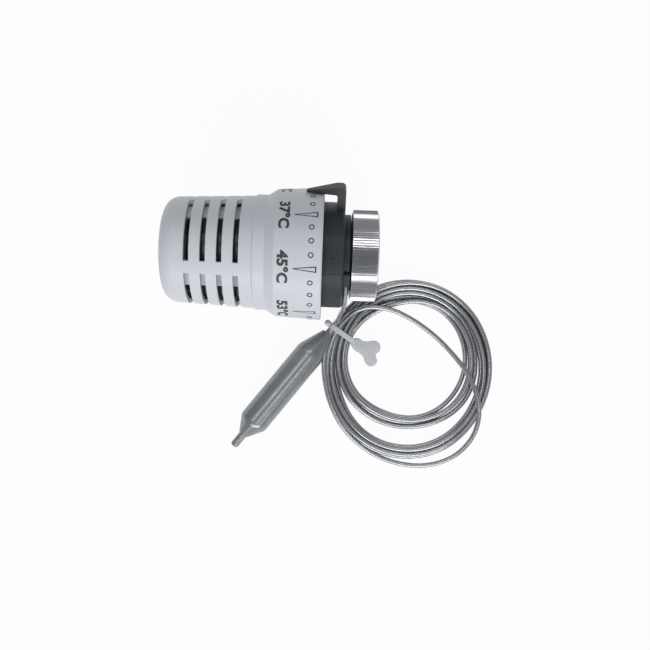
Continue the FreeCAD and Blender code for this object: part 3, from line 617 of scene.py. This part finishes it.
def small_rings(dial, ink):
    """Small rings on the dial between the numbers, one for each step of the scale."""
    x = WHEEL_REAR - dial.dot_place
    count = (dial.warmest - dial.coldest) // dial.dot_step + 1
    pattern = Pattern("small_rings", {
        "Count": count, "Skip": dial.step // dial.dot_step, "Start": dial_angle(dial.coldest),
        "Turn": dial.dot_step * dial.turn_per_degree, "Place": x,
        "Reach": RING_RADIUS + (x - WHEEL_REAR) * dial.taper, "Lean": -dial.taper,
        "Radius": dial.dot_radius, "Stroke": dial.stroke, "Film": 2 * dial.film}, ink)
    index = pattern.add("GeometryNodeInputIndex")
    angle = pattern.size("Start") - index * pattern.size("Turn")
    across, up = angle.sine(), angle.cosine()
    spot = pattern.add("ShaderNodeCombineXYZ", {}, {
        0: pattern.size("Place"), 1: pattern.size("Reach") * across, 2: pattern.size("Reach") * up})
    outward = pattern.add("ShaderNodeCombineXYZ", {}, {0: pattern.size("Lean"), 1: across, 2: up})
    facing = pattern.add("FunctionNodeAlignRotationToVector", {"axis": "Z"}, {"Vector": outward})
    spots = pattern.add("GeometryNodeMeshLine", {}, {"Count": pattern.size("Count")})
    spots = pattern.add("GeometryNodeSetPosition", {}, {"Geometry": spots, "Position": spot})
    numbered = (index % pattern.size("Skip")).under(0.5)
    section = pattern.add("GeometryNodeCurvePrimitiveQuadrilateral", {},
                          {"Width": pattern.size("Stroke"), "Height": pattern.size("Film")})
    circle = pattern.add("GeometryNodeCurvePrimitiveCircle", {},
                         {"Resolution": 28, "Radius": pattern.size("Radius")})
    ring = pattern.add("GeometryNodeCurveToMesh", {}, {"Curve": circle, "Profile Curve": section})
    rings = pattern.add("GeometryNodeInstanceOnPoints", {}, {
        "Points": spots, "Selection": 1 - numbered, "Instance": ring, "Rotation": facing})
    return pattern.mesh(rings)


class PIECE_OT_dial_print(bpy.types.Operator):
    """Numbers, pointer wedges and small rings on the handwheel's ring"""

    bl_idname = "radiator_head.dial_print"
    bl_label = "Dial print"

    def execute(self, context):
        dial = context.scene.dial
        ink = dial_ink(dial.ink)
        work = bmesh.new()
        for temperature in range(dial.coldest, dial.warmest + 1, dial.step):
            number = number_drawing(f"{temperature}°C", dial)
            wrap_on_ring(number, dial.number_place, dial_angle(temperature) + dial.number_shift)
            wedge = wedge_drawing(dial)
            wrap_on_ring(wedge, dial.wedge_place, dial_angle(temperature))
            work.from_mesh(number)
            work.from_mesh(wedge)
        work.from_mesh(small_rings(dial, ink))
        piece = mesh_object("dial_print", finished(work, "dial_print"), ink)
        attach(piece, "handwheel")
        return {"FINISHED"}


# Free tube. Control points in millimetres from the outlet block to the coil.
LEAD = (
    (-5.9, -10.29, 10.86), (-5.75, -15.0, 6.6), (-5.8, -19.0, 0.8), (-6.2, -21.3, -6.0),
    (-7.2, -23.2, -12.6), (-7.6, -25.6, -17.2),
)
# Angle, radius and layer of each control point of the turn that strays over the others.
STRAY_TURN = (
    (153, 35.05, 1.9), (170, 34.6, 1.9), (188, 34.2, 1.9), (206, 34.8, 1.5), (226, 36.4, 0.6),
    (246, 37.9, 0.0), (264, 39.6, 0.0), (282, 41.3, 0.0), (298, 41.8, 0.0), (312, 40.3, 0.1),
    (324, 37.0, 1.2), (335, 32.6, 2.0), (346, 28.2, 2.1), (360, 23.6, 2.1), (378, 19.4, 2.0),
    (400, 17.4, 2.0), (424, 17.5, 2.0), (447, 20.0, 2.0), (469, 25.6, 2.1), (491, 32.2, 2.0),
)
# Radius and layer of the nine other turns at every 45 degrees from the tie, as the tube runs.
TURN_RADII = (
    33.0, 33.4, 35.3, 35.9, 34.3, 34.2, 35.4, 34.6, 31.9, 31.4, 33.3, 33.9, 32.4, 31.6, 32.9, 32.6,
    29.85, 27.6, 24.9, 24.6, 27.6, 28.9, 30.9, 30.6, 27.8, 25.2, 21.8, 22.0, 25.0, 27.2, 28.8, 26.6,
    26.8, 24.2, 20.7, 21.0, 22.2, 25.0, 27.8, 27.6, 28.85, 26.3, 22.8, 23.0, 25.0, 27.0, 29.8, 29.6,
    30.9, 29.4, 32.3, 32.9, 31.1, 30.8, 31.7, 31.6, 32.95, 32.3, 34.3, 34.9, 33.0, 32.7, 33.6, 33.6,
    35.0, 34.4, 36.3, 36.9, 34.9, 34.6, 35.7, 35.6, 35.0,
)
TURN_LAYERS = (2, 1, 1, 1, 1, 1, 1, 1, 1, 1, 1, 1, 1, 1, 1, 1, 1, 1, 0, 0.5, 0, 0, 1, 1,
               1, 1, 1, 1, 1, 1, 1, 1) + (0,) * 41
# Angle at which the last turn leaves the coil, and the tube's way on into the bulb, in
# millimetres, with its heights counted from the floor.
LAST_ANGLE = 486.0
TAIL = ((-3.6, -19.6, 1.6), (-6.2, -22.9, 2.6), (-8.7, -26.1, 4.2), (-10.7, -28.7, 5.4),
        (-12.0, -30.1, 6.0), (-12.4, -30.6, 6.0))


def coil_points():
    """Control points of the whole free tube, from the outlet block to the bulb."""
    coil = bpy.context.scene.coil
    tie_angle = math.degrees(coil.tie_angle)
    # The curve runs inside its control points, at this share of their radius.
    cut = 1 - (1 - math.cos(2 * math.pi / coil.points_per_turn)) / 4
    centre = Vector((*coil.centre, 0))

    def on_coil(angle, radius, layer):
        lift = coil.tie_lift * swell(angle, tie_angle, 3)
        height = FLOOR + coil.diameter * (0.5 + layer) + lift
        turned = math.radians(angle)
        reach = radius * MM / cut
        return centre + Vector((reach * math.cos(turned), reach * math.sin(turned), height))

    points = [Vector(p) * MM for p in LEAD]
    points += [on_coil(*place) for place in STRAY_TURN]
    turns = len(TURN_RADII) // 8
    for step in range(turns * coil.points_per_turn):
        angle = tie_angle + 360 * step / coil.points_per_turn
        if angle > LAST_ANGLE + 360 * (turns - 1):
            break
        place = 8 * step / coil.points_per_turn
        points.append(on_coil(angle, blend_of(TURN_RADII, place),
                              max(0, blend_of(TURN_LAYERS, place))))
    points += [Vector((x, y, FLOOR / MM + z)) * MM for x, y, z in TAIL]
    return points


class PIECE_OT_capillary(bpy.types.Operator):
    """The free tube: lead, ten turns under the tie, and tail"""

    bl_idname = "radiator_head.capillary"
    bl_label = "Capillary tube"

    def execute(self, context):
        coil = context.scene.coil
        points = coil_points()
        curve = bpy.data.curves.new("capillary_tube", "CURVE")
        curve.dimensions = "3D"
        curve.bevel_depth = coil.diameter / 2
        curve.bevel_resolution = 6
        curve.resolution_u = 8
        curve.use_fill_caps = True
        spline = curve.splines.new("NURBS")
        spline.points.add(len(points) - 1)
        for point, place in zip(spline.points, points):
            point.co = (*place, 1)
        spline.order_u = 3
        spline.use_endpoint_u = True
        tube = placed("capillary_tube", curve)
        tube.data.materials.append(tinned_metal("tinned_tube", coil.tone, coil.dullness, TUBE_METAL))
        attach(tube, "base")
        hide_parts("capillary_lead", "capillary_coil", "capillary_tail")
        return {"FINISHED"}


# Tail of the tie: outline in millimetres, outwards from the coil's centre and across the strap.
TAIL_OUTLINE = (
    (25.4, -1.0), (24.6, -2.0), (23.4, -2.5), (21.6, -2.6), (19.8, -3.7), (18.0, -5.4),
    (16.1, -5.8), (14.4, -4.8), (13.7, -3.2), (14.1, -1.5), (13.6, -0.5), (12.3, 0.4), (11.8, 2.0),
    (12.5, 3.8), (14.3, 4.5), (15.9, 4.0), (17.5, 2.9), (19.3, 2.5), (21.6, 2.6), (23.8, 2.2),
    (25.4, 1.0),
)
TIE_CORNERS = (0.8, 0.8, 2.0, 1.6)  # radii in millimetres: both feet, outer top, inner top
CORNER_STEPS = 3                    # on each side of a corner's middle
SOFT_SHARE = 0.3                    # rounding of the edges as a share of the thickness
BUTTON_OUT, BUTTON_DROP = 0.9 * MM, 0.6 * MM  # its middle, from the room's outer top corner
BUTTON_HEIGHT = 0.9                 # its height as a share of its width
TIE_SHARP = 40                      # edges sharper than this angle stay sharp


class PIECE_OT_tie(bpy.types.Operator):
    """The tie: a strap round the turns, a round button and a two-lobed tail"""

    bl_idname = "radiator_head.tie"
    bl_label = "Tie"

    def execute(self, context):
        tie = context.scene.tie
        plastic = milky_plastic(context.scene.finishes.tie)
        work = bmesh.new()
        self.strap(work, tie)
        work.from_mesh(self.button(tie, plastic))
        work.from_mesh(self.tail(tie))
        mesh = joined(work, "tie")
        smooth_faces(mesh, TIE_SHARP)
        mesh.transform(self.placing(context.scene))
        piece = mesh_object("tie", mesh, plastic)
        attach(piece, "base")
        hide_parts("coil_tie")
        return {"FINISHED"}

    def placing(self, scene):
        """From the coil's centre to the tie, turned about the strap's middle."""
        tie, coil = scene.tie, scene.coil
        middle = Matrix.Translation(((tie.inner + tie.outer) / 2, 0, 0))
        turned = middle @ Matrix.Rotation(tie.turn, 4, "Z") @ middle.inverted()
        turned = turned @ Matrix.Translation((0, tie.shift, 0))
        centre = Matrix.Translation((*coil.centre, FLOOR))
        return centre @ Matrix.Rotation(coil.tie_angle, 4, "Z") @ turned

    def strap(self, work, tie):
        """Band bent round the turns, with rounded corners and softened edges."""
        wall, soft = tie.thickness, tie.thickness * SOFT_SHARE
        places = ((tie.inner, wall), (tie.outer, wall), (tie.outer, tie.height),
                  (tie.inner, tie.inner_height))
        edge = 1 - soft / tie.width * 2
        side = [(0, edge), (soft, 1), (wall - soft, 1), (wall, edge)]
        loops = [(grow, -reach) for grow, reach in side] + side[::-1]
        band(work, [[(u, reach * tie.width / 2, z) for u, z in self.rounded(places, grow)]
                    for grow, reach in loops])

    def rounded(self, places, grow):
        """Closed outline round four corners, each with its own radius, grown outwards."""
        outline = []
        for i, radius in enumerate(TIE_CORNERS):
            here = Vector(places[i])
            before = (Vector(places[i - 1]) - here).normalized()
            after = (Vector(places[(i + 1) % 4]) - here).normalized()
            half = before.angle(after) / 2
            centre = here + (before + after).normalized() * radius * MM / math.sin(half)
            outward = -(before + after).normalized()
            spread = math.pi / 2 - half
            for step in range(-CORNER_STEPS, CORNER_STEPS + 1):
                arm = Matrix.Rotation(spread * step / CORNER_STEPS, 2) @ outward
                outline.append(centre + arm * (radius * MM + grow))
        return outline

    def button(self, tie, plastic):
        """Domed round end of the strap, at its outer top corner."""
        pattern = Pattern("button", {"Radius": tie.button}, plastic)
        mesh = pattern.mesh(pattern.add("GeometryNodeMeshUVSphere", {}, {
            "Segments": 24, "Rings": 12, "Radius": pattern.size("Radius")}))
        place = Matrix.Translation((tie.outer + BUTTON_OUT, 0, tie.height - BUTTON_DROP))
        mesh.transform(place @ Matrix.Diagonal((1, 1, BUTTON_HEIGHT, 1)))
        return mesh

    def tail(self, tie):
        """Flat fishtail with a rounded edge."""
        curve = bpy.data.curves.new("tail", "CURVE")
        curve.dimensions = "2D"
        curve.fill_mode = "BOTH"
        soft = tie.thickness * SOFT_SHARE
        curve.extrude = tie.thickness / 2 - soft
        curve.bevel_depth = soft
        curve.bevel_resolution = 2
        curve.offset = -soft
        curve.resolution_u = 5
        spline = curve.splines.new("BEZIER")
        spline.bezier_points.add(len(TAIL_OUTLINE) - 1)
        for point, place in zip(spline.bezier_points, TAIL_OUTLINE):
            point.co = (*(Vector(place) * MM), 0)
            point.handle_left_type = point.handle_right_type = "AUTO"
        spline.use_cyclic_u = True
        mesh = curve_mesh(curve)
        mesh.transform(Matrix.Translation((0, 0, tie.tail_level + tie.thickness / 2)))
        return mesh


NUT_STEPS, THREAD_ROWS = 96, 30
NUT_SHARP = 35           # edges sharper than this angle stay sharp
VALLEY_SHARE = 0.2       # share of the knurl's depth that the body's chamfers are smaller
LIP_EDGE = 0.2 * MM      # chamfer of the lip's bore
THREAD_FADE = 0.5 * MM   # the thread runs out over this length at either end


class PIECE_OT_union_nut(bpy.types.Operator):
    """The union nut: a threaded body and knurled ridges"""

    bl_idname = "radiator_head.union_nut"
    bl_label = "Union nut"

    def execute(self, context):
        nut = context.scene.nut
        plate = nickel(context.scene.finishes.nickel)
        work = bmesh.new()
        rows = []
        for x, radius, thread in self.section(nut):
            row = []
            for i in range(NUT_STEPS):
                angle = 2 * math.pi * i / NUT_STEPS
                phase = (x / nut.thread_pitch + angle / (2 * math.pi)) % 1
                reach = radius + thread * (1 - abs(2 * phase - 1)) * nut.thread_depth
                row.append((x, reach * math.sin(angle), reach * math.cos(angle)))
            rows.append(row)
        band(work, rows)
        body = joined(work, "union_nut_body")
        smooth_faces(body, NUT_SHARP)
        work = bmesh.new()
        work.from_mesh(body)
        work.from_mesh(self.ridges(nut, plate))
        piece = mesh_object("knurled_nut", finished(work, "knurled_nut"), plate)
        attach(piece, "union_nut")
        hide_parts("union_nut")
        return {"FINISHED"}

    def section(self, nut):
        """Place, radius and share of thread depth of each row round the nut's section."""
        valley = NUT_RADIUS - nut.knurl_depth
        cut = nut.chamfer - nut.knurl_depth * VALLEY_SHARE
        start, end = NUT_FRONT + nut.relief_end, NUT_REAR - nut.mouth
        rows = [(NUT_FRONT, nut.lip_bore + LIP_EDGE, 0), (NUT_FRONT, valley - cut, 0),
                (NUT_FRONT + cut, valley, 0), (NUT_REAR - cut, valley, 0),
                (NUT_REAR, valley - cut, 0), (NUT_REAR, nut.thread_crest + nut.mouth, 0)]
        for i in range(THREAD_ROWS + 1):
            x = end + (start - end) * i / THREAD_ROWS
            fade = min(1.0, (end - x) / THREAD_FADE, (x - start) / THREAD_FADE)
            rows.append((x, nut.thread_crest, fade))
        inner = NUT_FRONT + nut.lip
        return rows + [(start, nut.relief, 0), (inner, nut.relief, 0), (inner, nut.lip_bore, 0),
                       (NUT_FRONT + LIP_EDGE, nut.lip_bore, 0)]

    def ridges(self, nut, plate):
        """Straight ridges side by side round the nut."""
        length = NUT_REAR - NUT_FRONT - 2 * nut.chamfer
        pattern = Pattern("knurl", {
            "Count": nut.knurls, "Reach": NUT_RADIUS - nut.ridge, "Ridge": nut.ridge,
            "Spread": nut.ridge_spread, "Length": length, "Start": NUT_FRONT + nut.chamfer}, plate)
        spots = pattern.add("GeometryNodeMeshCircle", {}, {
            "Vertices": pattern.size("Count"), "Radius": pattern.size("Reach")})
        facing = pattern.add("FunctionNodeAlignRotationToVector", {"axis": "X"},
                             {"Vector": pattern.add("GeometryNodeInputPosition")})
        ridge = pattern.add("GeometryNodeMeshCone", {}, {
            "Vertices": 3, "Radius Top": pattern.size("Ridge"),
            "Radius Bottom": pattern.size("Ridge"), "Depth": pattern.size("Length")})
        scale = pattern.add("ShaderNodeCombineXYZ", {}, {0: 1.0, 1: pattern.size("Spread"), 2: 1.0})
        ridges = pattern.add("GeometryNodeInstanceOnPoints", {}, {
            "Points": spots, "Instance": ridge, "Rotation": facing, "Scale": scale})
        shift = pattern.add("ShaderNodeCombineXYZ", {}, {0: pattern.size("Start")})
        turned = pattern.add("GeometryNodeTransform", {}, {
            "Geometry": ridges, "Translation": shift, "Rotation": (0, math.pi / 2, 0)})
        return pattern.mesh(turned)


class PIECE_OT_springs(bpy.types.Operator):
    """The two compression springs, wound from round wire about the axis"""

    bl_idname = "radiator_head.springs"
    bl_label = "Springs"

    def execute(self, context):
        springs = context.scene.springs
        steel = bright_steel(context.scene.finishes.steel)
        for node, body, joint, end, wire, turns in (
                ("overtravel_spring", "carriage", "overtravel", 0, springs.overtravel_wire,
                 springs.overtravel_turns),
                ("return_spring", "base", "bellows_stroke", 1, springs.return_wire,
                 springs.return_turns)):
            low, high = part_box(node)
            piece = mesh_object(node + "_wire", self.wire(node, low, high, wire, turns, steel), steel)
            stroke = next(max(map(abs, j["range_m"])) for j in frame["joints"] if j["name"] == joint)
            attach(piece, body)
            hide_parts(node)
            1 - stroke / (high.x - low.x)
            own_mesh(piece)
        return {"FINISHED"}

    def wire(self, name, low, high, wire, turns, steel):
        """Round wire wound round the axis between two places."""
        pattern = Pattern(name, {
            "Start": low.x + wire / 2, "Height": high.x - low.x - wire, "Turns": turns,
            "Reach": high.z - wire / 2, "Wire": wire / 2}, steel)
        winding = pattern.add("GeometryNodeCurveSpiral", {}, {
            "Resolution": 40, "Rotations": pattern.size("Turns"),
            "Start Radius": pattern.size("Reach"), "End Radius": pattern.size("Reach"),
            "Height": pattern.size("Height")})
        section = pattern.add("GeometryNodeCurvePrimitiveCircle", {},
                              {"Resolution": 12, "Radius": pattern.size("Wire")})
        wound = pattern.add("GeometryNodeCurveToMesh", {}, {
            "Curve": winding, "Profile Curve": section, "Fill Caps": True})
        shift = pattern.add("ShaderNodeCombineXYZ", {}, {0: pattern.size("Start")})
        mesh = pattern.mesh(pattern.add("GeometryNodeTransform", {}, {
            "Geometry": wound, "Translation": shift, "Rotation": (0, math.pi / 2, 0)}))
        mesh.shade_smooth()
        return mesh


class PIECE_OT_finishes(bpy.types.Operator):
    """Finishes on the pieces that keep their solid shape"""

    bl_idname = "radiator_head.finishes"
    bl_label = "Finishes"

    def execute(self, context):
        tones, coil = context.scene.finishes, context.scene.coil
        finishes = {
            "white_plastic": white_moulding(tones.white),
            "charcoal_plastic": charcoal_moulding(tones.charcoal),
            "black_plastic": black_moulding(tones.black),
            "nickel_plate": nickel(tones.nickel),
            "capillary_metal": tinned_metal("inner_tube", coil.tone, coil.dullness, TUBE_METAL),
            "bulb_metal": tinned_metal("bulb_metal", tones.bulb, BULB_ROUGHNESS, BULB_METAL),
            "spring_steel": bright_steel(tones.steel),
            "capsule_brass": drawn_brass(tones.brass),
            "tie_plastic": milky_plastic(tones.tie),
        }
        for subpart in frame["record"]["subparts"]:
            node = frame["nodes"][subpart["node"]]
            node.data.materials.clear()
            node.data.materials.append(finishes[subpart["material_slot"]])
        return {"FINISHED"}


FLOOR_REACH = 3.0                 # half the floor's width
LAMP_AIM = Vector((0, -0.02, 0))  # what every lamp is aimed at


class PIECE_OT_stage(bpy.types.Operator):
    """Floor, lights, surroundings and camera"""

    bl_idname = "radiator_head.stage"
    bl_label = "Stage"

    def execute(self, context):
        stage = context.scene.stage
        mesh = bpy.data.meshes.new("floor")
        mesh.from_pydata([(x * FLOOR_REACH, y * FLOOR_REACH, FLOOR)
                          for x, y in ((-1, -1), (1, -1), (1, 1), (-1, 1))], [], [(0, 1, 2, 3)])
        mesh_object("floor", mesh, paper_floor(stage.floor_glow))
        self.lamp("near_lamp", (0.02, -0.73, 0.42), (0.9, 0.34), 0, stage.near_power)
        self.lamp("far_lamp", (0.03, 0.32, 0.66), (0.5, 0.2), 0, stage.far_power)
        self.lamp("left_strip", (-0.16, -0.04, 0.53), (0.22, 0.08), 52.5, stage.strip_power)
        self.lamp("right_strip", (0.14, -0.27, 0.5), (0.22, 0.08), 52.5, stage.strip_power)
        world = bpy.data.worlds.new("surroundings")
        context.scene.world = world
        world.use_nodes = True
        backdrop = world.node_tree.nodes["Background"]
        backdrop.inputs["Color"].default_value = (0.95, 0.97, 1.0, 1)
        backdrop.inputs["Strength"].default_value = stage.sky
        camera = placed("camera", bpy.data.cameras.new("camera"))
        camera.location = stage.camera_place
        camera.rotation_euler = (0, 0, stage.camera_turn)
        camera.data.sensor_width = 36.0
        camera.data.lens = stage.lens
        camera.data.clip_start = 0.01
        context.scene.camera = camera
        context.scene.view_settings.view_transform = "Standard"
        return {"FINISHED"}

    def lamp(self, name, place, sizes, turn, power):
        """Soft rectangular lamp aimed at the object, its long side turned from +X in degrees."""
        lamp = bpy.data.lights.new(name, "AREA")
        lamp.shape = "RECTANGLE"
        lamp.size, lamp.size_y = sizes
        lamp.energy = power
        holder = placed(name, lamp)
        holder.location = place
        back = (Vector(place) - LAMP_AIM).normalized()
        long = Vector((math.cos(math.radians(turn)), math.sin(math.radians(turn)), 0))
        long = (long - back * long.dot(back)).normalized()
        holder.rotation_euler = Matrix((long, back.cross(long), back)).transposed().to_euler()


class VIEW3D_PT_radiator_head(bpy.types.Panel):
    """Lists the pieces and their settings"""

    bl_label = "Radiator head"
    bl_idname = "VIEW3D_PT_radiator_head"
    bl_space_type = "VIEW_3D"
    bl_region_type = "UI"
    bl_category = "Radiator head"

    def draw(self, context):
        for piece in OPERATORS:
            self.layout.operator(piece.bl_idname)
        for name in SETTINGS:
            group = getattr(context.scene, name)
            box = self.layout.box()
            for key in group.__annotations__:
                box.prop(group, key)


SETTINGS = {"dial": DialSettings, "coil": CoilSettings, "tie": TieSettings, "nut": NutSettings,
            "springs": SpringSettings, "finishes": FinishSettings, "stage": StageSettings}
OPERATORS = (PIECE_OT_stage, PIECE_OT_finishes, PIECE_OT_tie, PIECE_OT_capillary,
             PIECE_OT_union_nut, PIECE_OT_springs, PIECE_OT_dial_print)


def register():
    for kind in (*SETTINGS.values(), *OPERATORS, VIEW3D_PT_radiator_head):
        bpy.utils.register_class(kind)
    for name, group in SETTINGS.items():
        setattr(bpy.types.Scene, name, PointerProperty(type=group))


def unregister():
    for name in SETTINGS:
        delattr(bpy.types.Scene, name)
    for kind in (VIEW3D_PT_radiator_head, *reversed(OPERATORS), *SETTINGS.values()):
        bpy.utils.unregister_class(kind)


def main():
    register()
    for piece in OPERATORS:
        family, name = piece.bl_idname.split(".")
        getattr(getattr(bpy.ops, family), name)()


if __name__ == "__main__":
    main()
